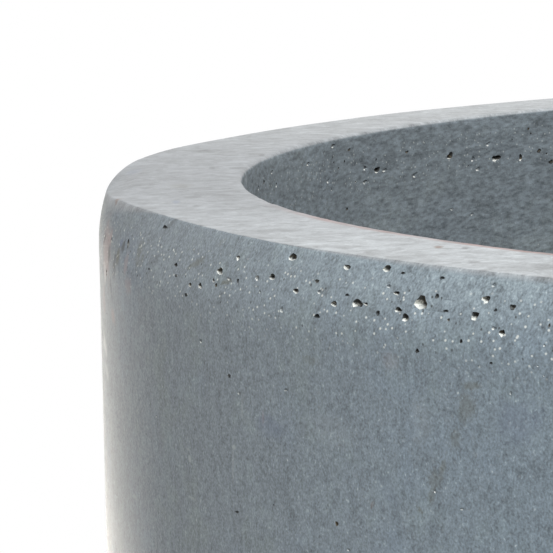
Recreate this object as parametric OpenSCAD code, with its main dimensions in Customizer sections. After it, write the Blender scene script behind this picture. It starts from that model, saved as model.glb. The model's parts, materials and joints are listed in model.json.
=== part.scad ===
// Egg planter: a round cast-concrete floor planter with a thick wall. The upper wall is straight,
// and the lower body closes in like the pointed end of an egg, down to a small flat foot.
// The origin is the centre of the planter's base, on the floor, with +Z up. Sizes are in millimetres.

/* [Body] */
// Outer diameter of the straight upper wall
outer_d = 600; // [520:10:680]
// Height of the rim above the floor
height = 480; // [440:10:540]
// Thickness of the cast wall
wall = 30; // [22:1:38]
// Height of the straight part of the wall, down from the rim
straight_h = 126; // [90:2:160]
// Radius of the upper arc of the egg
belly_r = 520; // [460:10:600]
// Angle through which the upper arc of the egg turns
belly_a = 25; // [18:1:30]

/* [Base] */
// Diameter of the flat foot
foot_d = 280; // [250:10:320]
// Radius of the worn edge round the foot
foot_edge_r = 5; // [2:0.5:10]
// Thickness of the base at the drain
base_t = 36; // [30:1:48]
// Radius where the inner wall runs into the inner floor
floor_fillet_r = 28; // [16:1:40]

/* [Rim] */
// How far below the rim the soft outer shoulder starts
shoulder_h = 10.2; // [7:0.2:13]
// Radius of the soft outer shoulder
shoulder_r = 21; // [18:1:30]
// Radius of the worn arris between the shoulder and the flat rim
arris_r = 2.4; // [1.2:0.2:4]
// Radius of the crisp inner edge
inner_edge_r = 1.2; // [0.6:0.2:3]

/* [Drain] */
// Bore of the drain sleeve
drain_d = 32; // [24:1:40]
// Wall of the drain sleeve
sleeve_t = 3; // [2:0.5:5]
// How far the sleeve's flange reaches beyond its tube
sleeve_flange_w = 8; // [5:1:14]
// Thickness of the sleeve's flange
sleeve_flange_t = 3; // [2:0.5:5]
// Number of anchor ribs round the sleeve
sleeve_ribs = 2; // [1:1:3]
// How far an anchor rib stands out of the sleeve's tube
sleeve_rib_w = 3; // [1:0.5:5]
// Thickness of an anchor rib
sleeve_rib_t = 2; // [1:0.5:3]
// Gap between the cast concrete and the sleeve
cast_gap = 0.15; // [0.1:0.05:0.4]

/* [Plug] */
// Length of the plug's stem inside the sleeve
stem_l = 24; // [16:1:30]
// How much the stem's diameter falls from its top to its tip
stem_taper = 2; // [0:0.5:4]
// How far the plug's flange reaches beyond the bore
plug_flange_w = 5; // [3:0.5:8]
// Thickness of the plug's flange
plug_flange_t = 3.5; // [2:0.5:6]
// Diameter of the neck under the plug's grip
neck_d = 12; // [8:1:16]
// Height of the neck
neck_h = 7; // [4:1:12]
// Diameter of the plug's grip
grip_d = 24; // [18:1:30]
// Thickness of the plug's grip
grip_t = 6; // [4:1:9]
// Running gap between the plug and the sleeve
plug_gap = 0.3; // [0.2:0.05:0.6]

/* [Foot pads] */
// Diameter of a pad
pad_d = 40; // [28:1:50]
// Thickness of a pad
pad_t = 6; // [4.5:0.5:9]
// Depth of the pocket that a pad is glued into
pad_pocket = 2; // [1:0.5:3]
// Diameter of the circle that the pads' centres lie on
pad_circle_d = 200; // [160:5:210]
// Gap round a pad in its pocket
pad_gap = 0.2; // [0.1:0.05:0.5]
// Width of the bevel round a pad's lower edge
pad_bevel = 1; // [0.5:0.25:2]

/* [Hidden] */
PAD_COUNT = 4;

CONCRETE = [0.52, 0.55, 0.57];
GREY_PLASTIC = [0.33, 0.34, 0.35];
BLACK_RUBBER = [0.09, 0.09, 0.09];
LARGE_FN = 180;
SMALL_FN = 64;
// How far a cutting shape runs past what it cuts
past = 1;
// How much one of two tangent arcs is grown, so that they are sure to meet with no step
weld = 0.002;

// The foot stands clear of the floor by the part of the pads that shows
foot_z = pad_t - pad_pocket;
floor_z = foot_z + base_t;
outer_r = outer_d / 2;
straight_z = height - straight_h;

// The egg's outline is two tangent arcs. The upper one starts upright at the straight wall. The lower
// one goes on in the same direction and ends at the edge of the foot, which sets its radius.
belly_c = [outer_r - belly_r, straight_z];
belly_end = [cos(belly_a), -sin(belly_a)];
to_foot = [foot_d / 2, foot_z] - belly_c - belly_r * belly_end;
tangent_r = -(to_foot * to_foot) / (2 * to_foot * belly_end);
lower_c = belly_c + (belly_r - tangent_r) * belly_end;
lower_r = tangent_r + weld;

// Where the two arcs of the egg meet, on an outline that lies inset inside the outer one
function arcs_meet_z(inset) = belly_c.y - (belly_r - inset) * sin(belly_a);

// Centre of the fillet round the inner floor, and where it leaves the inner wall
fillet_c = [lower_c.x + sqrt(pow(lower_r - wall - floor_fillet_r, 2)
                             - pow(lower_c.y - floor_z - floor_fillet_r, 2)),
            floor_z + floor_fillet_r];
fillet_end = lower_c + (lower_r - wall) * (fillet_c - lower_c) / norm(fillet_c - lower_c);

// The same for the worn edge round the foot, on the outer wall
foot_edge_c = [lower_c.x + sqrt(pow(lower_r - foot_edge_r, 2)
                                - pow(lower_c.y - foot_z - foot_edge_r, 2)),
               foot_z + foot_edge_r];
foot_edge_end = lower_c + lower_r * (foot_edge_c - lower_c) / norm(foot_edge_c - lower_c);

// The soft shoulder and the worn arris above it are two tangent arcs. Their centres, and where they meet
shoulder_c = [outer_r - shoulder_r, height - shoulder_h];
arris_c = [shoulder_c.x + sqrt(pow(shoulder_r - arris_r, 2) - pow(shoulder_h - arris_r, 2)),
           height - arris_r];
arris_end = shoulder_c + shoulder_r * (arris_c - shoulder_c) / norm(arris_c - shoulder_c);

sleeve_r = drain_d / 2 + sleeve_t;
sleeve_flange_r = sleeve_r + sleeve_flange_w;
sleeve_rib_pitch = (base_t - sleeve_flange_t) / (sleeve_ribs + 1);
plug_flange_r = drain_d / 2 + plug_flange_w;

// A rectangle from one corner to the opposite one, in the half section
module region(low, high) {
    translate(low) square(high - low);
}

// The part of an arc's disc between two heights, filled to the axis where its centre stands off it
module arc_band(centre, r, low_z, high_z) {
    intersection() {
        translate(centre) circle(r = r, $fn = LARGE_FN);
        region([0, low_z], [centre.x + r + past, high_z]);
    }
    if (centre.x > 0)
        region([0, low_z], [centre.x, high_z]);
}

// Half section of the solid body inside an outline that lies inset inside the outer one. The lower
// arc's disc goes on up inside the upper one's, so that no step is left where they meet.
module egg_section(inset, low_z, high_z) {
    region([0, straight_z], [outer_r - inset, high_z]);
    arc_band(belly_c, belly_r - inset, arcs_meet_z(inset), straight_z);
    arc_band(lower_c, lower_r - inset, low_z, straight_z);
}

// Replaces the sharp corner of a half section, where it meets a flat top or bottom, by a round one
module round_corner(centre, r, end, flat_z) {
    past_z = flat_z + past * sign(flat_z - end.y);
    difference() {
        children();
        region([centre.x, min(past_z, end.y)], [end.x + r + past, max(past_z, end.y)]);
    }
    translate(centre) circle(r = r + weld, $fn = SMALL_FN);
    polygon([centre, end, [centre.x, end.y]]);
}

// The solid egg, without the corner that the soft shoulder takes off
module shouldered_section() {
    difference() {
        egg_section(0, foot_z, height);
        difference() {
            region(shoulder_c, [outer_r + past, height + past]);
            translate(shoulder_c) circle(r = shoulder_r, $fn = LARGE_FN);
        }
    }
}

module outer_section() {
    round_corner(arris_c, arris_r, arris_end, height)
        round_corner(foot_edge_c, foot_edge_r, foot_edge_end, foot_z)
            shouldered_section();
}

module inner_section() {
    edge_c = [outer_r - wall + inner_edge_r, height - inner_edge_r];
    round_corner(fillet_c, floor_fillet_r, fillet_end, floor_z)
        egg_section(wall, floor_z, height + past);
    difference() {
        region([edge_c.x - inner_edge_r - past, edge_c.y], [edge_c.x, height + past]);
        translate(edge_c) circle(r = inner_edge_r, $fn = SMALL_FN);
    }
}

// Solid of the drain sleeve without its bore, grown by gap on every side that the concrete touches
module sleeve_outside(gap) {
    translate([0, 0, foot_z]) cylinder(r = sleeve_r + gap, h = base_t, $fn = SMALL_FN);
    translate([0, 0, floor_z - sleeve_flange_t - gap])
        cylinder(r = sleeve_flange_r + gap, h = sleeve_flange_t + gap, $fn = SMALL_FN);
    for (i = [1:sleeve_ribs])
        translate([0, 0, foot_z + i * sleeve_rib_pitch - sleeve_rib_t / 2 - gap])
            cylinder(r = sleeve_r + sleeve_rib_w + gap, h = sleeve_rib_t + 2 * gap, $fn = SMALL_FN);
}

module drain_cut() {
    sleeve_outside(cast_gap);
    translate([0, 0, foot_z - past])
        cylinder(r = sleeve_r + cast_gap, h = base_t + 2 * past, $fn = SMALL_FN);
    translate([0, 0, floor_z - past])
        cylinder(r = sleeve_flange_r + cast_gap, h = 2 * past, $fn = SMALL_FN);
}

// Places a shape at foot pad i, between the X and Y axes
module at_pad(i) {
    rotate([0, 0, (i - 0.5) * 360 / PAD_COUNT])
        translate([pad_circle_d / 2, 0, 0])
            children();
}

// The concrete casting: rim, walls and base in one piece
module shell() {
    color(CONCRETE)
        difference() {
            rotate_extrude($fn = LARGE_FN)
                difference() {
                    outer_section();
                    inner_section();
                }
            drain_cut();
            for (i = [1:PAD_COUNT])
                at_pad(i)
                    translate([0, 0, foot_z - past])
                        cylinder(r = pad_d / 2 + pad_gap, h = pad_pocket + past, $fn = SMALL_FN);
        }
}

// The plastic liner of the drain hole, held in the concrete by its flange and ribs
module drain_sleeve() {
    color(GREY_PLASTIC)
        difference() {
            sleeve_outside(0);
            translate([0, 0, foot_z - past])
                cylinder(r = drain_d / 2, h = base_t + 2 * past, $fn = SMALL_FN);
        }
}

// The rubber bung: a tapered stem in the sleeve, a flange on it, and a grip to pull it out by
module drain_plug() {
    stem_r = drain_d / 2 - plug_gap;
    flange_z = floor_z + plug_gap;
    neck_z = flange_z + plug_flange_t;
    grip_z = neck_z + neck_h;
    color(BLACK_RUBBER)
        rotate_extrude($fn = SMALL_FN) {
            polygon([[0, flange_z - stem_l], [stem_r - stem_taper / 2, flange_z - stem_l],
                     [stem_r, flange_z], [0, flange_z]]);
            region([0, flange_z], [plug_flange_r, neck_z]);
            region([0, neck_z], [neck_d / 2, grip_z]);
            region([0, grip_z], [(grip_d - grip_t) / 2, grip_z + grip_t]);
            translate([(grip_d - grip_t) / 2, grip_z + grip_t / 2])
                circle(d = grip_t, $fn = SMALL_FN);
        }
}

// A round rubber pad, glued into its pocket, with a bevelled lower edge
module foot_pad(i) {
    color(BLACK_RUBBER)
        at_pad(i) {
            cylinder(r1 = pad_d / 2 - pad_bevel, r2 = pad_d / 2, h = pad_bevel, $fn = SMALL_FN);
            translate([0, 0, pad_bevel])
                cylinder(r = pad_d / 2, h = pad_t - pad_bevel, $fn = SMALL_FN);
        }
}

shell();
drain_sleeve();
drain_plug();
for (i = [1:PAD_COUNT])
    foot_pad(i);
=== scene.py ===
import json
import math
import random

import bmesh
import bpy
from mathutils import Matrix, Vector, noise
from mathutils.bvhtree import BVHTree

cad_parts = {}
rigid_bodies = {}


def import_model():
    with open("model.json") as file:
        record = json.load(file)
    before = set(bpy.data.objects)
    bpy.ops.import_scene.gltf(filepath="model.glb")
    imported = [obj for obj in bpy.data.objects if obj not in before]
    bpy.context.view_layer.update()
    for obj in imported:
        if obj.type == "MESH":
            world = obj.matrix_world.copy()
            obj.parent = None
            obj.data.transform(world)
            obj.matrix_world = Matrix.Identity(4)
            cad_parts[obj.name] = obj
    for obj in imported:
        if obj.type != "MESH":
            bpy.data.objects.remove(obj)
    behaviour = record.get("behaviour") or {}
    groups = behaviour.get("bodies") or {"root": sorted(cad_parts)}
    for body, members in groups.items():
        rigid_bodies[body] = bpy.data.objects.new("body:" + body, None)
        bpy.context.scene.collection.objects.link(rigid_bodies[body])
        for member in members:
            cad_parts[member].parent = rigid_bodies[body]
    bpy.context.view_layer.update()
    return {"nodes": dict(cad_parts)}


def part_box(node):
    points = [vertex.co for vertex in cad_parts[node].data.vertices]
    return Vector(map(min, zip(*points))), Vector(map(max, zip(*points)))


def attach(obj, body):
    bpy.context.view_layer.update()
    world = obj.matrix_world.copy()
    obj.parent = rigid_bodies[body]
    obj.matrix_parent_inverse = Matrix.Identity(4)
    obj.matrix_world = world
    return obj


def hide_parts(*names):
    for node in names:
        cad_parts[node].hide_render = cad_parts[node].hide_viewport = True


for default in list(bpy.data.objects):
    bpy.data.objects.remove(default)
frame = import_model()

# The camera. It stands a little above the rim and looks at the left shoulder of the planter from
# close by, so that only the upper left of it is in the picture. Distances are shares of the radius.
shell_low, shell_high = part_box("shell")
OUTER = shell_high.x
RIM = shell_high.z
FOOT = shell_low.z
CAMERA_PLACE = Vector((0, -2.767 * OUTER, RIM + 0.223 * OUTER))
LOOKS_LEFT = math.radians(18.511)
LOOKS_DOWN = math.radians(6.3625)
ROLL = math.radians(-1.18)
PICTURE = 553
FOCAL = 3814
SENSOR = 36

forward = Vector((-math.sin(LOOKS_LEFT) * math.cos(LOOKS_DOWN),
                  math.cos(LOOKS_LEFT) * math.cos(LOOKS_DOWN), -math.sin(LOOKS_DOWN)))
level_right = Vector((math.cos(LOOKS_LEFT), math.sin(LOOKS_LEFT), 0))
level_up = level_right.cross(forward)
picture_right = level_right * math.cos(ROLL) + level_up * math.sin(ROLL)
picture_up = level_up * math.cos(ROLL) - level_right * math.sin(ROLL)

camera = bpy.data.objects.new("camera", bpy.data.cameras.new("camera"))
camera.data.sensor_width = SENSOR
camera.data.lens = SENSOR * FOCAL / PICTURE
camera.data.clip_start = 0.01
camera.data.clip_end = 200
turned = Matrix((picture_right, picture_up, -forward)).transposed().to_4x4()
camera.matrix_world = Matrix.Translation(CAMERA_PLACE) @ turned
bpy.context.scene.collection.objects.link(camera)
bpy.context.scene.camera = camera


def line_of_sight(x, y):
    """Direction from the camera through a point of the photograph, in its pixels."""
    return (forward * FOCAL + picture_right * (x - PICTURE / 2)
            + picture_up * (PICTURE / 2 - y)).normalized()


# The shell, one casting in grey concrete. Its straight upper wall runs down into an egg on a flat
# foot. It is cast with the rim up in a two-part mould: the walls keep the mould's skin, with air pits
# where bubbles rose and stayed just under the rim, and the rim is then sanded flat.
WALL = 0.030
STRAIGHT = 0.126
BELLY_R = 0.520
BELLY_TURN = math.radians(25)
FOOT_R = 0.140
FOOT_EDGE_R = 0.005
FLOOR = FOOT + 0.036
FILLET_R = 0.028
SHOULDER_H = 0.0118
SHOULDER_R = 0.038
ARRIS_R = 0.0006
INNER_EDGE_R = 0.0012
WORN_R = OUTER - 0.0075
WORN_AWAY = 0.0026
SLEEVE_HOLE_R = 0.01915
FLANGE_HOLE_R = 0.02715
FLANGE_HOLE_H = 0.00315
TURN_STEPS = 270
# Points nearer than this are one
SAME = 1e-6


def heading(angle):
    return Vector((math.cos(angle), math.sin(angle)))


def angle_of(step):
    return math.atan2(step.y, step.x)


def arc(centre, radius, start, end, spans):
    """Points of a half section on an arc, from one angle to another, without the first point."""
    return [centre + radius * heading(start + (end - start) * i / spans)
            for i in range(1, spans + 1)]


def run(start, end, spans):
    """Points of a half section on a straight line, without the first point."""
    return [start.lerp(end, i / spans) for i in range(1, spans + 1)]


def once(items):
    """Each item once, in the order in which they come, which a set wouldn't keep."""
    return list(dict.fromkeys(items))


# The same tangent arcs as in the solid: the upper one starts upright at the straight wall, the lower
# one goes on in its direction and ends at the foot
belly_c = Vector((OUTER - BELLY_R, RIM - STRAIGHT))
belly_end = heading(-BELLY_TURN)
to_foot = Vector((FOOT_R, FOOT)) - belly_c - BELLY_R * belly_end
LOWER_R = -to_foot.length_squared / (2 * to_foot.dot(belly_end))
lower_c = belly_c + (BELLY_R - LOWER_R) * belly_end


def corner_in(gap, radius, flat_z):
    """Centre of a round corner between the lower arc, drawn in by gap, and a flat below it."""
    drop = lower_c.y - flat_z - radius
    reach = LOWER_R - gap - radius
    return Vector((lower_c.x + math.sqrt(reach ** 2 - drop ** 2), flat_z + radius))


foot_edge_c = corner_in(0, FOOT_EDGE_R, FOOT)
fillet_c = corner_in(WALL, FILLET_R, FLOOR)
foot_edge_a = angle_of(foot_edge_c - lower_c)
fillet_a = angle_of(fillet_c - lower_c)
shoulder_c = Vector((OUTER - SHOULDER_R, RIM - SHOULDER_H))
arris_reach = math.sqrt((SHOULDER_R - ARRIS_R) ** 2 - (SHOULDER_H - ARRIS_R) ** 2)
arris_c = Vector((shoulder_c.x + arris_reach, RIM - ARRIS_R))
shoulder_a = angle_of(arris_c - shoulder_c)
inner_edge_c = Vector((OUTER - WALL + INNER_EDGE_R, RIM - INNER_EDGE_R))
BAND_BOTTOM = RIM - 0.056

outline = [Vector((foot_edge_c.x, FOOT))]
outline += arc(foot_edge_c, FOOT_EDGE_R, math.radians(-90), foot_edge_a, 5)
outline += arc(lower_c, LOWER_R, foot_edge_a, -BELLY_TURN, 18)
outline += arc(belly_c, BELLY_R, -BELLY_TURN, 0, 18)
outline += run(Vector((OUTER, belly_c.y)), Vector((OUTER, BAND_BOTTOM)), 7)
outline += run(Vector((OUTER, BAND_BOTTOM)), Vector((OUTER, shoulder_c.y)), 13)
outline += arc(shoulder_c, SHOULDER_R, 0, shoulder_a, 5)
outline += arc(arris_c, ARRIS_R, shoulder_a, math.radians(90), 5)
outline += run(Vector((arris_c.x, RIM)), Vector((WORN_R, RIM)), 6)
outline += run(Vector((WORN_R, RIM)), Vector((inner_edge_c.x, RIM)), 7)
outline += arc(inner_edge_c, INNER_EDGE_R, math.radians(90), math.radians(180), 4)
outline += run(Vector((OUTER - WALL, inner_edge_c.y)), Vector((OUTER - WALL, BAND_BOTTOM)), 15)
outline += run(Vector((OUTER - WALL, BAND_BOTTOM)), Vector((OUTER - WALL, belly_c.y)), 7)
outline += arc(belly_c, BELLY_R - WALL, 0, -BELLY_TURN, 16)
outline += arc(lower_c, LOWER_R - WALL, -BELLY_TURN, fillet_a, 16)
outline += arc(fillet_c, FILLET_R, fillet_a, math.radians(-90), 6)
outline += run(Vector((fillet_c.x, FLOOR)), Vector((FLANGE_HOLE_R, FLOOR)), 7)
SEAT_Z = FLOOR - FLANGE_HOLE_H
outline += [Vector((FLANGE_HOLE_R, SEAT_Z)), Vector((SLEEVE_HOLE_R, SEAT_Z))]
outline += run(Vector((SLEEVE_HOLE_R, SEAT_Z)), Vector((SLEEVE_HOLE_R, FOOT)), 3)

bm = bmesh.new()
points = [bm.verts.new((p.x, 0, p.y)) for p in outline]
lines = [bm.edges.new(pair) for pair in zip(points, points[1:])]
bmesh.ops.spin(bm, geom=points + lines, cent=(0, 0, 0), axis=(0, 0, 1), dvec=(0, 0, 0),
               angle=math.tau, steps=TURN_STEPS, use_merge=True)

# The bands with pits get twice as many columns, brought out to the true radius
hoops = [e for e in bm.edges
         if min(v.co.z for v in e.verts) > BAND_BOTTOM - 0.0001
         and abs(e.verts[0].co.z - e.verts[1].co.z) < SAME
         and abs(e.verts[0].co.xy.length - e.verts[1].co.xy.length) < SAME]
halved = bmesh.ops.subdivide_edges(bm, edges=hoops, cuts=1, use_grid_fill=True)
for v in halved["geom_inner"]:
    if isinstance(v, bmesh.types.BMVert):
        v.co.xy /= math.cos(math.pi / TURN_STEPS)

# The underside, with a round hole for the drain and a shallow pocket for each foot pad
PAD_COUNT = 4
PAD_CIRCLE_R = 0.100
POCKET_R = 0.0202
POCKET_H = 0.002
pad_places = [PAD_CIRCLE_R * Vector((math.cos(a), math.sin(a), 0))
              for a in (math.tau * (i + 0.5) / PAD_COUNT for i in range(PAD_COUNT))]
underside = [e for e in bm.edges if e.is_boundary]
for place in pad_places:
    ring = bmesh.ops.create_circle(bm, cap_ends=False, segments=40, radius=POCKET_R,
                                   matrix=Matrix.Translation(place + Vector((0, 0, FOOT))))["verts"]
    mouth = once(e for v in ring for e in v.link_edges)
    underside += mouth
    sides = bmesh.ops.extrude_edge_only(bm, edges=mouth)["geom"]
    raised = [v for v in sides if isinstance(v, bmesh.types.BMVert)]
    bmesh.ops.translate(bm, verts=raised, vec=(0, 0, POCKET_H))
    bmesh.ops.contextual_create(bm, geom=[e for e in sides if isinstance(e, bmesh.types.BMEdge)
                                          and all(v in raised for v in e.verts)])
bmesh.ops.triangle_fill(bm, edges=underside, use_beauty=True, normal=(0, 0, -1))
bmesh.ops.recalc_face_normals(bm, faces=bm.faces)

# The outer arris is worn back, except for a short stretch at the left, where it is rounded down instead.
# No wall is quite true: the mould leaves it uneven by a tenth of a millimetre, and sanding the rim
# leaves its inner edge nibbled.
SPARED_AT = math.radians(194.5)
SPARED_HALF = math.radians(10)
ROUNDED_AT = math.radians(198.5)
ROUNDED_HALF = math.radians(10)
ROUNDED_H = 0.0013
UNEVEN_H = 0.00008
NIBBLED_W = 0.002
NIBBLED_H = 0.0004
spared_layer = bm.verts.layers.float.new("spared")
for v in bm.verts:
    out = v.co.xy.length
    if v.co.z > shoulder_c.y and out > WORN_R:
        turn = math.atan2(v.co.y, v.co.x) % math.tau
        spared = max(0, min(1, 2 - abs(turn - SPARED_AT) / SPARED_HALF))
        spared *= spared * (3 - 2 * spared)
        v[spared_layer] = spared
        wear_and_shoulder_light = WORN_AWAY * (1 - spared) * (1 + 0.4 * noise.noise(v.co * 20))
        fade = (v.co.z - shoulder_c.y) / SHOULDER_H * min(1, (out - WORN_R) / (arris_c.x - WORN_R))
        rounded = max(0, 1 - abs(turn - ROUNDED_AT) / ROUNDED_HALF)
        v.co.z -= ROUNDED_H * rounded * rounded * (3 - 2 * rounded) * fade
        v.co.xy *= 1 - wear_and_shoulder_light * fade / out
    if v.co.z > FOOT + 0.001:
        slow = (noise.noise(v.co * 22) - 1) * UNEVEN_H * (v.co.z < RIM - 0.0001)
        nibbled = max(0, 1 - abs(out - OUTER + WALL) / NIBBLED_W) * (v.co.z > RIM - NIBBLED_W)
        quick = -abs(noise.noise(v.co * 110)) * NIBBLED_H * nibbled
        v.co += v.normal * (slow + quick)

# Air pits. Each is a bowl that leans up into the wall, so its mouth is dark above and its lower lip
# catches the light. These are the ones in the photograph: x, y, width and height in its pixels.
# Their colour adds to this: painted shade darkens the bowls and a painted highlight whitens the lower lips.
PIT_CORNERS = 11
PIT_LEAN = math.radians(38)
PIT_ROOM = 0.6
PIT_GAP = 0.00012
LIPPED_PITS_SEEN = (
    (190, 285, 4, 6), (200, 286, 4, 7), (220, 271, 7, 8), (238, 258, 4, 5), (293, 257, 8, 7),
    (272, 277, 6, 7), (296, 291, 5, 6), (347, 267, 7, 6), (387, 269, 8, 7), (397, 293, 6, 5),
    (357, 303, 9, 10), (334, 304, 6, 6), (398, 310, 6, 6), (405, 318, 7, 8), (421, 303, 12, 14),
    (486, 299, 7, 8), (475, 316, 7, 9), (502, 333, 6, 7), (366, 304, 4, 4), (377, 170, 6, 6),
    (450, 156, 6, 7), (496, 158, 9, 6))
DARK_PITS_SEEN = (
    (165, 227, 8, 4), (176, 265, 5, 4), (176, 276, 3, 3), (186, 295, 4, 4), (149, 269, 3, 3),
    (235, 267, 4, 3), (317, 281, 4, 4), (317, 316, 6, 5), (378, 313, 4, 6), (442, 278, 5, 4),
    (446, 311, 5, 3), (437, 296, 4, 5), (513, 307, 7, 6), (229, 376, 4, 4), (237, 512, 4, 3),
    (491, 363, 3, 3), (403, 273, 4, 3), (347, 295, 4, 3), (264, 182, 4, 4), (407, 152, 4, 3),
    (539, 151, 5, 4), (551, 162, 5, 5), (349, 150, 4, 3), (347, 209, 3, 3))
PALE_DENTS_SEEN = (
    (214, 277, 6, 4), (220, 277, 4, 3), (229, 279, 5, 3), (257, 278, 4, 6), (319, 292, 4, 4),
    (389, 286, 4, 4), (342, 300, 4, 4), (392, 309, 5, 5), (415, 307, 5, 5), (494, 328, 5, 4),
    (494, 285, 4, 5), (468, 323, 4, 4), (190, 289, 3, 3), (201, 341, 4, 4), (286, 390, 4, 3),
    (239, 393, 4, 3), (462, 509, 4, 3), (349, 550, 3, 3), (511, 393, 3, 4), (333, 146, 5, 4),
    (488, 144, 5, 4), (473, 159, 4, 5), (478, 169, 5, 4), (365, 168, 4, 4), (385, 170, 5, 4),
    (415, 175, 5, 6), (365, 182, 4, 5), (328, 181, 4, 4), (272, 172, 4, 4), (472, 214, 3, 3),
    (308, 164, 5, 4), (452, 209, 4, 3))
# Stains, scratches and smears in the photograph, with some painted shade and light: x, y, width and height
# in its pixels, how far the mark leans to the right in degrees, its tint and its strength. The dark streaks
# under the rim at the left outline are painted shade, and the pale streaks right along the left outline
# painted light.
MARKS_SEEN = (
    (117, 200, 8, 5, 0, "rust", 0.8), (173, 222, 16, 8, 0, "dark", 0.35),
    (123, 247, 4, 16, 0, "dark", 0.75), (113, 274, 4, 6, 0, "dark", 0.35),
    (103, 336, 3, 9, 0, "dark", 0.4), (108, 258, 4, 26, 0, "dark", 0.25),
    (106, 250, 16, 76, 0, "pink", 0.6), (110, 238, 7, 18, 0, "pink", 0.6),
    (128, 246, 4, 12, 0, "olive", 0.4), (104, 300, 8, 36, 0, "pink", 0.3),
    (140, 261, 10, 16, 0, "olive", 0.3), (195, 264, 18, 10, 0, "olive", 0.45),
    (226, 282, 16, 6, 0, "olive", 0.5), (222, 242, 12, 8, 0, "olive", 0.25),
    (310, 360, 26, 12, 0, "olive", 0.2), (372, 505, 4, 12, 35, "rust", 0.4),
    (404, 438, 7, 2, -10, "dark", 0.35), (404, 441, 5, 2, -10, "pale", 0.3),
    (472, 386, 20, 12, 0, "olive", 0.35), (467, 408, 20, 40, 5, "olive", 0.3),
    (455, 440, 12, 34, 25, "olive", 0.25), (443, 468, 6, 24, 15, "olive", 0.35),
    (434, 480, 14, 20, 15, "olive", 0.25), (431, 496, 8, 24, 20, "olive", 0.28),
    (420, 510, 8, 8, 20, "olive", 0.4), (438, 247, 11, 3, 0, "rust", 0.9),
    (465, 248, 12, 3, 0, "dark", 0.8), (474, 262, 16, 4, 0, "dark", 0.5),
    (212, 168, 8, 5, 0, "dark", 0.5), (176, 202, 9, 5, 0, "blue", 0.6),
    (196, 206, 10, 3, 0, "dark", 0.5), (152, 185, 18, 3, 0, "dark", 0.35),
    (180, 186, 30, 8, 0, "olive", 0.3), (134, 172, 20, 8, 0, "blue", 0.35),
    (242, 408, 3, 26, 0, "pale", 0.2), (188, 449, 5, 4, 0, "pale", 0.25),
    (190, 459, 4, 8, 0, "pale", 0.4), (234, 447, 5, 6, 0, "pale", 0.4),
    (233, 466, 3, 44, 0, "pale", 0.2), (263, 418, 3, 18, 0, "pink", 0.3),
    (192, 498, 10, 4, 0, "pale", 0.25), (107, 372, 10, 16, 0, "pale", 0.35),
    (135, 497, 6, 6, 0, "pale", 0.25), (270, 426, 34, 30, 0, "blue", 0.3),
    (520, 420, 50, 60, 0, "blue", 0.25), (385, 490, 26, 40, 0, "blue", 0.2),
    (390, 362, 20, 24, 0, "pink", 0.12), (262, 155, 9, 5, 0, "dark", 0.5),
    (246, 178, 4, 20, 0, "pale", 0.25), (105, 238, 5, 12, 0, "dark", 0.6),
    (109, 254, 4, 20, 0, "dark", 0.65), (114, 264, 4, 34, 0, "dark", 0.55),
    (121, 243, 4, 10, 0, "blue", 0.8), (118, 256, 4, 24, 0, "olive", 0.7),
    (126, 264, 5, 28, 0, "pink", 0.5), (111, 288, 4, 26, 0, "dark", 0.6),
    (105, 272, 4, 28, 0, "pale", 0.6), (128, 286, 9, 22, 0, "pink", 0.35),
    (113, 316, 7, 20, 0, "pink", 0.5), (105, 345, 12, 22, 0, "pale", 0.6),
    (139, 252, 7, 32, 0, "olive", 0.4), (150, 263, 16, 6, 0, "dark", 0.2),
    (330, 430, 60, 40, 0, "pale", 0.06), (420, 420, 24, 60, 0, "pale", 0.08),
    (500, 500, 60, 30, 0, "dark", 0.08))
# What is seen nearly edge-on counts as facing the camera by at least these shares
PIT_FACES = 0.45
MARK_FACES_ACROSS = 0.2
MARK_FACES_ALONG = 0.1
random.seed(7)
skin = BVHTree.FromBMesh(bm)
bm.faces.ensure_lookup_table()
pits = []


def add_pit(place, normal, width, height, depth, dark, pale):
    """Notes a pit, unless it would run into one that is there."""
    near = max(width, height) * PIT_ROOM
    if all((place - other["place"]).length > near + other["near"] + PIT_GAP for other in pits):
        up = (Vector((0, 0, 1)) - normal * normal.z).normalized()
        lean = PIT_LEAN * random.uniform(0.4, 1.3)
        side = up.cross(normal)
        oval, corner = random.uniform(0, math.pi), random.uniform(0, math.tau)
        mouth = []
        for i in range(PIT_CORNERS):
            a = math.tau * i / PIT_CORNERS
            reach = 1 + 0.12 * math.cos(2 * a - oval) + 0.13 * math.cos(3 * a - corner)
            reach *= random.uniform(0.8, 1.15)
            mouth.append(place + (side * math.cos(a) * width + up * math.sin(a) * height) * reach / 2)
        pits.append({"place": place, "normal": normal, "near": near, "mouth": mouth,
                     "depth": depth * min(width, height), "dark": dark, "pale": pale,
                     "lean": up * math.cos(lean) + side * math.sin(lean)})


for seen, depth, dark, pale in ((LIPPED_PITS_SEEN, 0.95, 1, 1), (DARK_PITS_SEEN, 0.8, 0.85, 0.12),
                                (PALE_DENTS_SEEN, 0.3, 0.3, 0.8)):
    for x, y, wide, high in seen:
        place, normal, index, distance = skin.ray_cast(CAMERA_PLACE, line_of_sight(x, y))
        side = Vector((0, 0, 1)).cross(normal).normalized()
        width = wide * distance / FOCAL / max(PIT_FACES, abs(side.dot(picture_right)))
        add_pit(place, normal, width, high * distance / FOCAL, depth, dark, pale)

# Each mark is noted as a flat oval on the wall, for the material to paint
MARK_REACH = 0.004
marks = []
for x, y, wide, high, slant, tint, strength in MARKS_SEEN:
    place, normal, index, distance = skin.ray_cast(CAMERA_PLACE, line_of_sight(x, y))
    across = (picture_right - normal * picture_right.dot(normal)).normalized()
    along = normal.cross(across)
    half = distance / FOCAL / 2
    size = (wide * half / max(MARK_FACES_ACROSS, across.dot(picture_right)),
            high * half / max(MARK_FACES_ALONG, along.dot(picture_up)), MARK_REACH)
    on_wall = Matrix((across, along, normal)).transposed()
    on_wall = Matrix.Rotation(-math.radians(slant), 3, normal) @ on_wall
    marks.append((place, on_wall.to_euler(), size, tint, strength))

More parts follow.
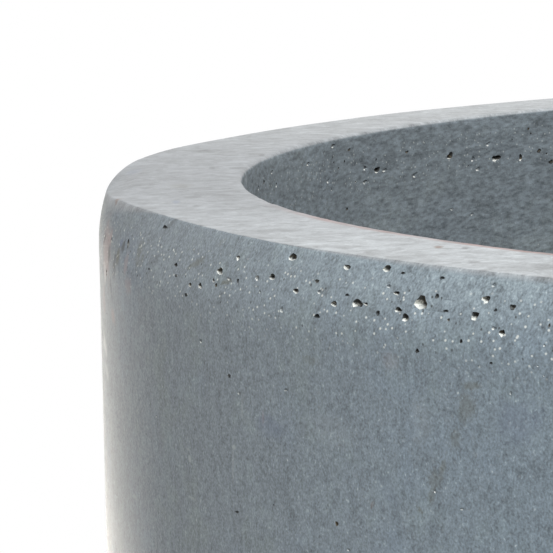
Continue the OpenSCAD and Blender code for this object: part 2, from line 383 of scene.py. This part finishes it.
# The other pits are chance, in the same bands all round: bubbles collect just under the rim, and a few
# larger ones are scattered down the walls
# How many, whether outside, from how far under the rim to how far, and their usual width
PIT_ZONES = ((240, True, 0.0045, 0.016, 0.0010), (60, True, 0.010, 0.050, 0.0008),
             (26, True, 0.05, 0.4, 0.0022), (150, False, 0.003, 0.0145, 0.0009),
             (40, False, 0.012, 0.05, 0.0008), (18, False, 0.05, 0.4, 0.0022))
# How deep a pit is, how dark the painted shade in its bowl and how strong the painted highlight on its lip
PIT_KINDS = ((0.95, 1, 0.9), (0.8, 1, 0.15), (0.7, 0.9, 0.3), (0.3, 0.3, 0.7))
for count, outside, highest, lowest, size in PIT_ZONES:
    for i in range(count):
        turn = random.uniform(0, math.tau)
        radial = Vector((math.cos(turn), math.sin(turn), 0))
        z = Vector((0, 0, RIM - random.uniform(highest, lowest)))
        start = z + radial * OUTER * 2 if outside else z
        place, normal, index, distance = skin.ray_cast(start, -radial if outside else radial)
        width = size * random.lognormvariate(-0.25, 0.4)
        height = width * random.uniform(0.7, 1.2)
        if place:
            add_pit(place, normal, width, height, *random.choice(PIT_KINDS))

# Every pit takes the faces under its mouth, and pits that share a face are cut out together. The
# patch round them is filled again in the plane of the wall, with their mouths as holes in it.
PIT_MARGIN = 1.4
owner = {}
for pit in pits:
    reach = [pit["place"] + (p - pit["place"]) * PIT_MARGIN for p in pit["mouth"]]
    group = {"pits": [pit], "faces": {skin.find_nearest(p)[2] for p in reach + [pit["place"]]}}
    for other in {id(owner[f]): owner[f] for f in group["faces"] if f in owner}.values():
        group["pits"] += other["pits"]
        group["faces"] |= other["faces"]
    owner.update(dict.fromkeys(group["faces"], group))

patches = bmesh.new()
patch_mesh = bpy.data.meshes.new("patch")
opened, mouths = [], []
for group in {id(g): g for g in owner.values()}.values():
    faces = [bm.faces[i] for i in sorted(group["faces"])]
    border = [e for f in faces for e in f.edges if sum(other in faces for other in e.link_faces) == 1]
    patch = bmesh.new()
    copies = {v: patch.verts.new(v.co) for v in once(v for e in border for v in e.verts)}
    patch_edges = [patch.edges.new([copies[v] for v in e.verts]) for e in border]
    for pit in group["pits"]:
        ring = bmesh.ops.create_circle(patch, cap_ends=False, segments=PIT_CORNERS, radius=0.001)["verts"]
        for v, place in zip(ring, pit["mouth"]):
            v.co = place
        patch_edges += once(e for v in ring for e in v.link_edges)
    bmesh.ops.triangle_fill(patch, edges=patch_edges, use_beauty=True, normal=group["pits"][0]["normal"])
    if all(len(e.link_faces) == 1 for e in patch_edges):
        opened += faces
        first = len(patches.verts) + len(copies)
        mouths += [(first + i, pit, place) for i, (pit, place) in
                   enumerate((pit, place) for pit in group["pits"] for place in pit["mouth"])]
        patch.to_mesh(patch_mesh)
        patches.from_mesh(patch_mesh)
    patch.free()
bmesh.ops.delete(bm, geom=opened, context="FACES_KEEP_BOUNDARY")

dirt_and_shade_layer = patches.verts.layers.float.new("pit_depth")
lip_highlight_layer = patches.verts.layers.float.new("pit_lip")
patches.verts.ensure_lookup_table()
rings = {patches.verts[i]: (pit, place) for i, pit, place in mouths}
edges = [e for e in patches.edges if e.is_boundary and all(v in rings for v in e.verts)]
# How deep each ring of a bowl lies, how wide it is, and how far it leans, as shares
PIT_RINGS = ((0.03, 0.985, 0), (0.32, 0.97, 0.05), (0.72, 0.78, 0.16), (1, 0.4, 0.26))
for depth, wide, lean in PIT_RINGS:
    made = bmesh.ops.extrude_edge_only(patches, edges=edges)["geom"]
    fresh = {v for v in made if isinstance(v, bmesh.types.BMVert)}
    inner = {}
    for v in fresh:
        base = next(e.other_vert(v) for e in v.link_edges if e.other_vert(v) in rings)
        pit, mouth = rings[base]
        step = mouth - pit["place"]
        v.co = (pit["place"] + step * wide + pit["lean"] * (lean * pit["near"])
                - pit["normal"] * (pit["depth"] * depth))
        low = -step.normalized().dot(pit["lean"])
        # The lower lip gets a painted highlight, and the deeper and upper parts of the bowl painted shade.
        v[lip_highlight_layer] = max(0, min(1, 1.5 * low - 0.35)) * (1 - 0.88 * depth) * pit["pale"]
        v[dirt_and_shade_layer] = max(0, min(1, 1 + 0.7 * depth - 0.8 * low * pit["pale"])) * pit["dark"]
        inner[v] = pit, mouth
    rings = inner
    edges = [e for e in made if isinstance(e, bmesh.types.BMEdge) and all(v in fresh for v in e.verts)]
floors = bmesh.ops.holes_fill(patches, edges=edges, sides=0)["faces"]
bmesh.ops.poke(patches, faces=floors)
patches.to_mesh(patch_mesh)
patches.free()
bm.from_mesh(patch_mesh)
seams = [v for v in bm.verts if v.is_boundary]
bmesh.ops.remove_doubles(bm, verts=seams, dist=SAME)
bmesh.ops.recalc_face_normals(bm, faces=bm.faces)

shell_mesh = bpy.data.meshes.new("shell_casting")
bm.to_mesh(shell_mesh)
bm.free()
shell_mesh.shade_smooth()
shell_mesh.set_sharp_from_angle(angle=math.radians(38))
shell = bpy.data.objects.new("shell_casting", shell_mesh)
bpy.context.scene.collection.objects.link(shell)


class Wire:
    """An output of a shader node. Sums on wires add Math nodes to their material."""

    def __init__(self, tree, socket=None):
        self.tree = tree
        self.socket = socket

    def node(self, kind, settings=None, inputs=None, output=0):
        made = self.tree.nodes.new("ShaderNode" + kind)
        for name, value in (settings or {}).items():
            if name == "stops":
                made.color_ramp.elements[0].position, made.color_ramp.elements[0].color = value[0]
                made.color_ramp.elements[1].position, made.color_ramp.elements[1].color = value[-1]
                for place, colour in value[1:-1]:
                    made.color_ramp.elements.new(place).color = colour
            else:
                setattr(made, name, value)
        for name, value in (inputs or {}).items():
            if isinstance(value, Wire):
                self.tree.links.new(value.socket, made.inputs[name])
            else:
                made.inputs[name].default_value = value
        return Wire(self.tree, made.outputs[output])

    def maths(self, operation, first, second=0.0, clamp=False):
        return self.node("Math", {"operation": operation, "use_clamp": clamp}, {0: first, 1: second})

    def __add__(self, other):
        return self.maths("ADD", self, other)

    def __sub__(self, other):
        return self.maths("SUBTRACT", self, other)

    def __rsub__(self, other):
        return self.maths("SUBTRACT", other, self)

    def __mul__(self, other):
        return self.maths("MULTIPLY", self, other)

    __radd__ = __add__
    __rmul__ = __mul__

    def step(self, low, high):
        """0 where the wire is at low, 1 where it is at high, eased between them."""
        return self.node("MapRange", {"interpolation_type": "SMOOTHSTEP"},
                         {"Value": self, "From Min": low, "From Max": high})

    def mottle(self, size, detail=3, roughness=0.55, stretch=(1, 1, 1), shift=0.0, twist=0.0):
        """Cloudy noise from -1 to 1, mostly within a third of that, with spots of about size metres."""
        place = self.node("Mapping", {}, {"Vector": self, "Scale": stretch,
                                          "Location": (shift, shift, shift)})
        return self.node("TexNoise", {}, {"Vector": place, "Scale": 1 / size, "Detail": detail,
                                          "Roughness": roughness, "Distortion": twist}) * 2 - 1

    def dots(self, size, radius, share, stretch=(1, 1, 1)):
        """1 in small round dots: one in each cell of about size metres, in a share of the cells."""
        place = self.node("Mapping", {}, {"Vector": self, "Scale": stretch})
        cells = self.node("TexVoronoi", {}, {"Vector": place, "Scale": 1 / size}, output="Distance")
        chance = self.node("TexVoronoi", {}, {"Vector": place, "Scale": 1 / size}, output="Color")
        chance = self.node("SeparateColor", {}, {"Color": chance})
        chosen = self.maths("LESS_THAN", chance, share)
        return (1 - cells.step(radius / size * 0.6, radius / size * 1.2)) * chosen

    def oval(self, place, turned, size):
        """Distance from the middle of an oval spot, as a share of its half sizes."""
        local = self.node("Mapping", {"vector_type": "TEXTURE"},
                          {"Vector": self, "Location": place, "Rotation": turned, "Scale": size})
        return local.node("VectorMath", {"operation": "LENGTH"}, {0: local}, output="Value")

    def from_ring(self, centre, radius, height):
        """Distance in a half section, where radius and height are wires, from the centre of an arc."""
        step = self.node("CombineXYZ", {}, {"X": radius - centre.x, "Y": height - centre.y})
        return self.node("VectorMath", {"operation": "LENGTH"}, {0: step}, output="Value")

    def blended(self, other, share):
        """This number mixed with another one by a share."""
        return self + (other - self) * share

    def blend(self, other, share):
        """This colour mixed with another one by a share."""
        return self.node("Mix", {"data_type": "RGBA"}, {0: share, 6: self, 7: other}, output=2)

    def scaled(self, factor):
        """This colour times a number."""
        return self.node("VectorMath", {"operation": "SCALE"}, {0: self, "Scale": factor})


def srgb(red, green, blue):
    """A colour read off a screen, from 0 to 255, as the linear values that a shader takes."""
    return tuple(((c / 255 + 0.055) / 1.055) ** 2.4 for c in (red, green, blue)) + (1,)


def new_material(name):
    """A material, its object coordinates as a wire, and its Principled shader."""
    made = bpy.data.materials.new(name)
    made.use_nodes = True
    place = Wire(made.node_tree).node("TexCoord", output="Object")
    return made, place, made.node_tree.nodes["Principled BSDF"]


def connect(surface, **inputs):
    """Sets the sockets of a Principled shader to values or wires. An underscore stands for a space."""
    for name, value in inputs.items():
        socket = surface.inputs[name.replace("_", " ")]
        if isinstance(value, Wire):
            value.tree.links.new(value.socket, socket)
        else:
            socket.default_value = value


# The finish of the concrete: cement skin with fine speckle, clouds and faint upright draw marks outside,
# flecks and level wiping marks inside, and paler, sanded concrete on the rim
WALL_GREY = srgb(131, 138, 142)
WALL_GREEN = srgb(124, 131, 129)
WALL_BLUE = srgb(123, 135, 150)
WALL_SHADE = srgb(108, 124, 134)
INSIDE_SHADED_GREY = srgb(109, 117, 121)
RIM_GREY = srgb(152, 155, 156)
RIM_SHADE_GREY = srgb(127, 130, 133)
LIT_SHOULDER_GREY = srgb(148, 158, 161)
EDGE_BROWN = srgb(122, 84, 76)
PIT_SHADE = srgb(36, 34, 29)
PIT_BROWN = srgb(92, 80, 58)
PALE_SPECK_AND_LIP_HIGHLIGHT = srgb(232, 231, 222)
TINTS = {"rust": srgb(104, 78, 62), "dark": srgb(62, 64, 64), "pink": srgb(166, 146, 142),
         "olive": srgb(98, 96, 80), "blue": srgb(106, 116, 136), "pale": srgb(196, 200, 198)}

# Round this spot at the left the rim's colour is darker: painted shade.
RIM_SHADE_SPOT = Vector((-0.283, -0.092, RIM))
RIM_SHADE_R = 0.19
PITTED_FROM = RIM - 0.017
PITTED_TO = RIM - 0.0025

concrete, place, surface = new_material("cast_concrete")
height = place.node("SeparateXYZ", {}, {"Vector": place}, output="Z")
toward_back = place.node("SeparateXYZ", {}, {"Vector": place}, output="Y")
toward_right = place.node("SeparateXYZ", {}, {"Vector": place}, output="X")
flat_place = place.node("VectorMath", {"operation": "MULTIPLY"}, {0: place, 1: (1, 1, 0)})
radius = place.node("VectorMath", {"operation": "LENGTH"}, {0: flat_place}, output="Value")
# How deep a point lies under the outer skin tells the inner face from the outer one
from_belly = place.from_ring(belly_c, radius, height.maths("MINIMUM", height, belly_c.y))
from_lower = place.from_ring(lower_c, radius, height)
arcs_meet_z = lower_c.y - LOWER_R * math.sin(BELLY_TURN)
above_meeting = height.maths("GREATER_THAN", height, arcs_meet_z)
under_skin = (LOWER_R - from_lower).blended(BELLY_R - from_belly, above_meeting)
inside = under_skin.step(WALL * 0.4, WALL * 0.6) * height.step(FOOT + 0.004, FOOT + 0.008)

grain = place.mottle(0.0010, detail=3, roughness=0.6, twist=0.8)
fine = place.mottle(0.00045, detail=2, roughness=0.5, shift=3.1)
blotch = place.mottle(0.0035, detail=3, roughness=0.55, shift=1.7, twist=0.5)
patch = place.mottle(0.014, detail=3, roughness=0.6, shift=2.3)
cloud = place.mottle(0.09, detail=3, roughness=0.5, shift=5.2)
cool = place.mottle(0.022, detail=3, roughness=0.5, shift=9.4)
drawn = place.mottle(0.0017, detail=3, roughness=0.6, stretch=(1, 1, 0.07), shift=0.4)
wiped = place.mottle(0.0018, detail=3, roughness=0.6, stretch=(0.2, 0.2, 1), shift=0.9)
fleck = place.mottle(0.0008, detail=2, roughness=0.6, stretch=(0.3, 0.3, 1), shift=4.4)
clots = place.mottle(0.0021, detail=3, roughness=0.6, stretch=(0.35, 0.35, 1), shift=8.8)
banded = place.mottle(0.012, detail=3, roughness=0.55, stretch=(0.22, 0.22, 1), shift=6.1)
scuffed = place.mottle(0.0044, detail=5, roughness=0.72, shift=7.7, twist=0.8)
sanding = place.mottle(0.0016, detail=3, roughness=0.6, stretch=(0.12, 1, 1), shift=5.5)
rim_patch = place.mottle(0.018, detail=4, roughness=0.6, shift=6.6)
arris_near = radius.step(OUTER - 0.009, OUTER - 0.008)
spared = place.node("Attribute", {"attribute_name": "spared"}, output="Fac")
# Towards the right the pale rim colour runs a little further down the arris: painted light on the shoulder.
lit_toward_right = toward_right.step(-0.22, -0.15)
softened = spared * 0.004 + lit_toward_right * 0.0012
on_top = (height + (grain + blotch) * 0.00006).step(RIM - 0.00014 - softened, RIM - 0.00004)
sanded = height.step(RIM - 0.0009, RIM - 0.0004).blended(on_top, arris_near)
# A paler band on the outer wall under the rim, towards the right: painted light on the shoulder.
wear_and_shoulder_light = height.step(RIM - 0.013, RIM + 0.001) * (1 - sanded) * (1 - inside)
pitted = height.step(PITTED_FROM, PITTED_FROM + 0.006) * (1 - height.step(PITTED_TO - 0.0025, PITTED_TO))

outer_tone = fine * 0.65 + grain * 0.65 + blotch * 0.3 + patch * 0.16 + drawn * (patch * 0.6 + 0.16)
inner_tone = fine * 0.3 + fleck * 0.85 + clots * 0.4 + wiped * 0.35 + banded * 0.25
wall_tone = cloud * 0.14 + outer_tone.blended(inner_tone, inside)
# Towards the back the rim's tone rises: a painted sheen.
rim_tone = (scuffed * 1.2 + fine * 0.25 + grain * 0.5 + rim_patch * 0.5 + sanding * 0.2
            + toward_back.step(-0.05, 0.16) * 0.2)
tone = 1 + wall_tone.blended(rim_tone, sanded)
# The inside is a darker grey than the outside: painted shade of the hollow.
wall = place.node("Mix", {"data_type": "RGBA"}, {0: inside, 6: WALL_GREY, 7: INSIDE_SHADED_GREY}, output=2)
green = (patch.blended(banded, inside) + blotch * 0.5).step(0.0, 0.4)
wall = wall.blend(WALL_GREEN, green * (0.6 - inside * 0.2))
wall = wall.blend(WALL_BLUE, (cool + blotch * 0.3).step(0.0, 0.5) * (0.34 - inside * 0.24))
# Less of the inside's painted shade at the left.
wall = wall.blend(WALL_GREY, (1 - toward_right.step(-0.266, -0.2)) * inside * 0.25)
# The outer wall is darker and bluer towards the right: painted shade.
wall = wall.blend(WALL_SHADE, toward_right.step(-0.26, -0.14) * (1 - inside) * 0.5)
# Paler under the rim towards the right: painted light on the shoulder.
wall = wall.blend(LIT_SHOULDER_GREY, wear_and_shoulder_light * (0.6 + patch * 0.5 + grain * 0.5) * toward_right.step(-0.235, -0.165))
# Painted shade darkens the rim round the spot at the left.
rim_shade = 1 - place.oval(RIM_SHADE_SPOT, (0, 0, 0), (RIM_SHADE_R, RIM_SHADE_R, RIM_SHADE_R)).step(0.05, 1)
colour = wall.blend(RIM_GREY, sanded).blend(RIM_SHADE_GREY, rim_shade * sanded)
inner_edge = 1 - radius.step(OUTER - WALL + 0.0023, OUTER - WALL + 0.0035)
inner_edge = height.step(RIM - 0.0012, RIM - 0.0003) * inner_edge
in_front = 1 - toward_back.step(-0.19, -0.13)
colour = colour.blend(EDGE_BROWN, inner_edge * in_front * (0.75 + patch * 1.2)).scaled(tone)
# Stains and smears, and at the left outline streaks of painted shade and painted light
for spot, on_wall, size, tint, strength in marks:
    ragged = place.oval(spot, on_wall, size) + (grain + blotch) * 0.5
    colour = colour.blend(TINTS[tint], (1 - ragged.step(0.35, 1.1)) * strength)
# Pinholes are dark dots of painted shade, with a dent in the bump; specks are pale grains.
pinholes = place.dots(0.0017, 0.00026, 0.5) * (0.22 + 0.78 * pitted) * (1 - 0.4 * inside)
specks = place.dots(0.0014, 0.0003, 0.6, stretch=(1, 1, 1.3)) * (0.1 + 0.9 * pitted) * (1 - 0.5 * inside)
colour = colour.blend(PIT_SHADE, pinholes * 0.75 * (1 - sanded)).blend(PALE_SPECK_AND_LIP_HIGHLIGHT, specks * 0.7 * (1 - sanded))
# The bowls get painted shade mixed with brown dirt, and the lower lips a painted highlight.
pit_depth = place.node("Attribute", {"attribute_name": "pit_depth"}, output="Fac")
pit_lip = place.node("Attribute", {"attribute_name": "pit_lip"}, output="Fac")
bowl_dirt_and_shade = place.node("Mix", {"data_type": "RGBA"},
                  {0: (blotch + grain).step(0.0, 0.5), 6: PIT_SHADE, 7: PIT_BROWN}, output=2)
lip_highlight = (pit_lip + grain * 0.5 + fine * 0.4).step(0.2, 0.6)
colour = colour.blend(bowl_dirt_and_shade, pit_depth * 0.95).blend(PALE_SPECK_AND_LIP_HIGHLIGHT, lip_highlight)
relief = fine * 0.3 + grain * 0.6 + blotch * 0.6 - pinholes * 1.5
bump = place.node("Bump", {}, {"Strength": 0.3, "Distance": 0.00016, "Height": relief})
roughness = (0.64 + inside * 0.16).blended(0.36, sanded) + grain * 0.08
connect(surface, Base_Color=colour, Roughness=roughness, Normal=bump)

shell_mesh.materials.append(concrete)
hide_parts("shell")
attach(shell, "planter")


# The drain sleeve, a moulded grey plastic liner. It is set in the mould before the casting, and its
# flange and ribs hold it in the concrete, so only the flange and the bore show.
plastic, place, surface = new_material("grey_plastic")
tone = 1 + place.mottle(0.004, shift=2.2) * 0.06
matt = place.mottle(0.0005, detail=2)
bump = place.node("Bump", {}, {"Strength": 0.3, "Distance": 0.00005, "Height": matt})
sleeve_grey = place.node("Mix", {"data_type": "RGBA"},
                         {0: matt.step(-0.5, 0.5), 6: srgb(96, 97, 99), 7: srgb(104, 105, 107)}, output=2)
connect(surface, Base_Color=sleeve_grey.scaled(tone), Roughness=0.5 + matt * 0.05, Normal=bump)
frame["nodes"]["drain_sleeve"].data.materials.clear()
frame["nodes"]["drain_sleeve"].data.materials.append(plastic)


# The drain plug, a moulded black rubber bung. Its tapered stem has soft ribs that press on the bore,
# its flange closes on the sleeve's, and a neck carries a round grip to pull it out by.
plug_low, plug_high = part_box("drain_plug")
PLUG_FLANGE_R = 0.021
PLUG_FLANGE_Z = FLOOR + 0.0003
PLUG_FLANGE_H = 0.0035
STEM_R = 0.0157
STEM_TIP_R = 0.0147
TIP_EDGE_R = 0.001
RIB_H = 0.0012
RIB_REACH = RIB_H * 1.4
RIB_COUNT = 3
FLANGE_BEVEL = 0.0004
FLANGE_EDGE_R = 0.0012
NECK_R = 0.006
NECK_H = 0.007
NECK_FOOT_R = 0.002
NECK_TOP_R = 0.0015
GRIP_R = 0.012
GRIP_H = 0.006
DIMPLE_R = 0.0065
DIMPLE_H = 0.0009
DIMPLE_SLOPE = 0.0008


def turned_piece(name, section, steps):
    """A piece turned round the axis from a half section that starts and ends on it."""
    made = bmesh.new()
    line = [made.verts.new((p.x, 0, p.y)) for p in section]
    geometry = line + [made.edges.new(pair) for pair in zip(line, line[1:])]
    bmesh.ops.spin(made, geom=geometry, cent=(0, 0, 0), axis=(0, 0, 1), dvec=(0, 0, 0),
                   angle=math.tau, steps=steps, use_merge=True)
    bmesh.ops.remove_doubles(made, verts=made.verts, dist=SAME)
    bmesh.ops.recalc_face_normals(made, faces=made.faces)
    mesh = bpy.data.meshes.new(name)
    made.to_mesh(mesh)
    made.free()
    mesh.shade_smooth()
    mesh.set_sharp_from_angle(angle=math.radians(40))
    piece = bpy.data.objects.new(name, mesh)
    bpy.context.scene.collection.objects.link(piece)
    return piece


quarter = math.radians(90)
tip_edge_c = Vector((STEM_TIP_R - TIP_EDGE_R, plug_low.z + TIP_EDGE_R))
section = [Vector((0, plug_low.z)), Vector((tip_edge_c.x, plug_low.z))]
section += arc(tip_edge_c, TIP_EDGE_R, -quarter, 0, 3)
stem_top = Vector((STEM_R - RIB_H, PLUG_FLANGE_Z))
for i in range(RIB_COUNT):
    rib_z = plug_low.z + (i + 1) * (PLUG_FLANGE_Z - plug_low.z) / (RIB_COUNT + 1)
    rib_r = STEM_TIP_R + (STEM_R - STEM_TIP_R) * (i + 1) / (RIB_COUNT + 1) - RIB_H
    section += [Vector((rib_r, rib_z - RIB_REACH))]
    section += arc(Vector((rib_r, rib_z)), RIB_H, -quarter, quarter, 6)
    section += [Vector((rib_r, rib_z + RIB_REACH))]
section += [stem_top, Vector((PLUG_FLANGE_R - FLANGE_BEVEL, PLUG_FLANGE_Z))]
flange_top = PLUG_FLANGE_Z + PLUG_FLANGE_H
flange_edge_c = Vector((PLUG_FLANGE_R - FLANGE_EDGE_R, flange_top - FLANGE_EDGE_R))
section += arc(flange_edge_c, FLANGE_EDGE_R, 0, quarter, 4)
neck_foot_c = Vector((NECK_R + NECK_FOOT_R, flange_top + NECK_FOOT_R))
section += arc(neck_foot_c, NECK_FOOT_R, -quarter, -2 * quarter, 5)
grip_z = flange_top + NECK_H
neck_top_c = Vector((NECK_R + NECK_TOP_R, grip_z - NECK_TOP_R))
section += arc(neck_top_c, NECK_TOP_R, 2 * quarter, quarter, 4)
section += arc(Vector((GRIP_R - GRIP_H / 2, grip_z + GRIP_H / 2)), GRIP_H / 2, -quarter, quarter, 12)
section += [Vector((DIMPLE_R, plug_high.z)), Vector((DIMPLE_R - DIMPLE_SLOPE, plug_high.z - DIMPLE_H)),
            Vector((0, plug_high.z - DIMPLE_H))]
bung = turned_piece("drain_bung", section, 72)

rubber, place, surface = new_material("black_rubber")
bloom = place.mottle(0.006, detail=4, shift=1.1).step(-0.2, 0.7)
dust = place.mottle(0.0006, detail=3)
rubber_black = place.node("Mix", {"data_type": "RGBA"},
                          {0: bloom, 6: srgb(38, 38, 39), 7: srgb(58, 58, 57)}, output=2)
bump = place.node("Bump", {}, {"Strength": 0.4, "Distance": 0.00004, "Height": dust})
connect(surface, Base_Color=rubber_black.scaled(1 + dust * 0.1), Roughness=0.62 + bloom * 0.1, Normal=bump)
bung.data.materials.append(rubber)
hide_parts("drain_plug")
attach(bung, "plug")


# The foot pads, four rubber discs glued into the pockets under the foot. Each has a bevelled lower
# edge and rings moulded into its tread, which keep the planter from sliding.
PAD_R = 0.020
PAD_H = 0.006
PAD_BEVEL = 0.001
PAD_EDGE_R = 0.0004
GROOVE_COUNT = 4
GROOVE_H = 0.0006
GROOVE_W = 0.0011
GROOVE_PITCH = 0.0036
tread = [Vector((0, 0))]
for i in range(1, GROOVE_COUNT + 1):
    r = i * GROOVE_PITCH
    tread += [Vector((r - GROOVE_W / 2, 0)), Vector((r - GROOVE_W / 4, GROOVE_H)),
              Vector((r + GROOVE_W / 4, GROOVE_H)), Vector((r + GROOVE_W / 2, 0))]
tread += [Vector((PAD_R - PAD_BEVEL, 0)), Vector((PAD_R, PAD_BEVEL))]
tread += arc(Vector((PAD_R - PAD_EDGE_R, PAD_H - PAD_EDGE_R)), PAD_EDGE_R, 0, quarter, 3)
tread += [Vector((0, PAD_H))]

pad_rubber, place, surface = new_material("pad_rubber")
dust = place.mottle(0.0007, detail=3)
scuffs = place.mottle(0.004, detail=4, stretch=(1, 1, 0.4)).step(0.1, 0.6)
pad_black = place.node("Mix", {"data_type": "RGBA"},
                       {0: scuffs, 6: srgb(44, 43, 42), 7: srgb(66, 64, 61)}, output=2)
bump = place.node("Bump", {}, {"Strength": 0.4, "Distance": 0.00006, "Height": dust})
connect(surface, Base_Color=pad_black.scaled(1 + dust * 0.12), Roughness=0.75 + dust * 0.05, Normal=bump)
for i, place in enumerate(pad_places, start=1):
    pad = turned_piece(f"rubber_foot_{i}", tread, 64)
    pad.data.transform(Matrix.Translation(place))
    pad.data.materials.append(pad_rubber)
    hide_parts(f"foot_pad_{i}")
    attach(pad, "planter")


# The floor, a plain pale sheet. Near the planter it takes light and shadow; farther out, where the
# camera looks at it or a gloss shows it, it is white like the backdrop.
FLOOR_R = 60
bm = bmesh.new()
bmesh.ops.create_circle(bm, cap_ends=True, segments=96, radius=FLOOR_R)
floor_mesh = bpy.data.meshes.new("floor")
bm.to_mesh(floor_mesh)
bm.free()
floor = bpy.data.objects.new("floor", floor_mesh)
bpy.context.scene.collection.objects.link(floor)
paper = bpy.data.materials.new("white_paper")
paper.use_nodes = True
tree = Wire(paper.node_tree)
place = tree.node("TexCoord", output="Object")
away = place.node("VectorMath", {"operation": "LENGTH"}, {0: place}, output="Value").step(0.7, 1.6)
CLEAR_RAYS = ("Is Camera Ray", "Is Glossy Ray", "Is Transmission Ray")
rays = [tree.node("LightPath", output=name) for name in CLEAR_RAYS]
seen = tree.maths("MAXIMUM", rays[2], rays[0] + rays[1], clamp=True)
matt_white = tree.node("BsdfDiffuse", {}, {"Color": (0.8, 0.8, 0.8, 1)})
plain_white = tree.node("Emission", {}, {"Color": (1, 1, 1, 1), "Strength": 1})
mixed = tree.node("MixShader", {}, {0: away * seen, 1: matt_white, 2: plain_white})
paper.node_tree.links.new(mixed.socket, paper.node_tree.nodes["Material Output"].inputs["Surface"])
floor_mesh.materials.append(paper)


# The light: a white room, seen white by the camera and by glosses but dimmer as a lamp, a key lamp in
# front, a weak low one behind at the left that brightens the left outline, and a soft one overhead.
ROOM_LIGHT = 0.37
world = bpy.data.worlds.new("white_room")
bpy.context.scene.world = world
world.use_nodes = True
tree = Wire(world.node_tree)
rays = [tree.node("LightPath", output=name) for name in CLEAR_RAYS]
seen = tree.maths("MAXIMUM", rays[2], rays[0] + rays[1], clamp=True)
background = world.node_tree.nodes["Background"]
background.inputs["Color"].default_value = (1, 1, 1, 1)
world.node_tree.links.new((ROOM_LIGHT + seen * (1 - ROOM_LIGHT)).socket, background.inputs["Strength"])


def soft_lamp(name, place, aim, size, power, colour, spread=math.pi):
    """A square lamp at a place, turned towards a point, with a beam as wide as its spread."""
    lamp = bpy.data.lights.new(name, "AREA")
    lamp.size = size
    lamp.energy = power
    lamp.color = colour
    lamp.spread = spread
    lamp_object = bpy.data.objects.new(name, lamp)
    lamp_object.matrix_world = (Matrix.Translation(place)
                                @ (aim - place).to_track_quat("-Z", "Y").to_matrix().to_4x4())
    bpy.context.scene.collection.objects.link(lamp_object)


rim_centre = Vector((0, 0, RIM))
soft_lamp("key", Vector((0.17, -0.94, 1.25)), rim_centre, 0.45, 13.9, (0.94, 1, 1.06))
left_outline = Vector((-0.3, -0.13, 0.46))
soft_lamp("low_back", Vector((-0.82, 0.75, 0.03)), left_outline, 0.22, 1.75, (1, 0.93, 0.84),
          math.radians(36))
soft_lamp("overhead", Vector((0.8, 0.3, 1.9)), rim_centre, 1.2, 11, (1, 1, 1))

bpy.context.scene.view_settings.view_transform = "Standard"
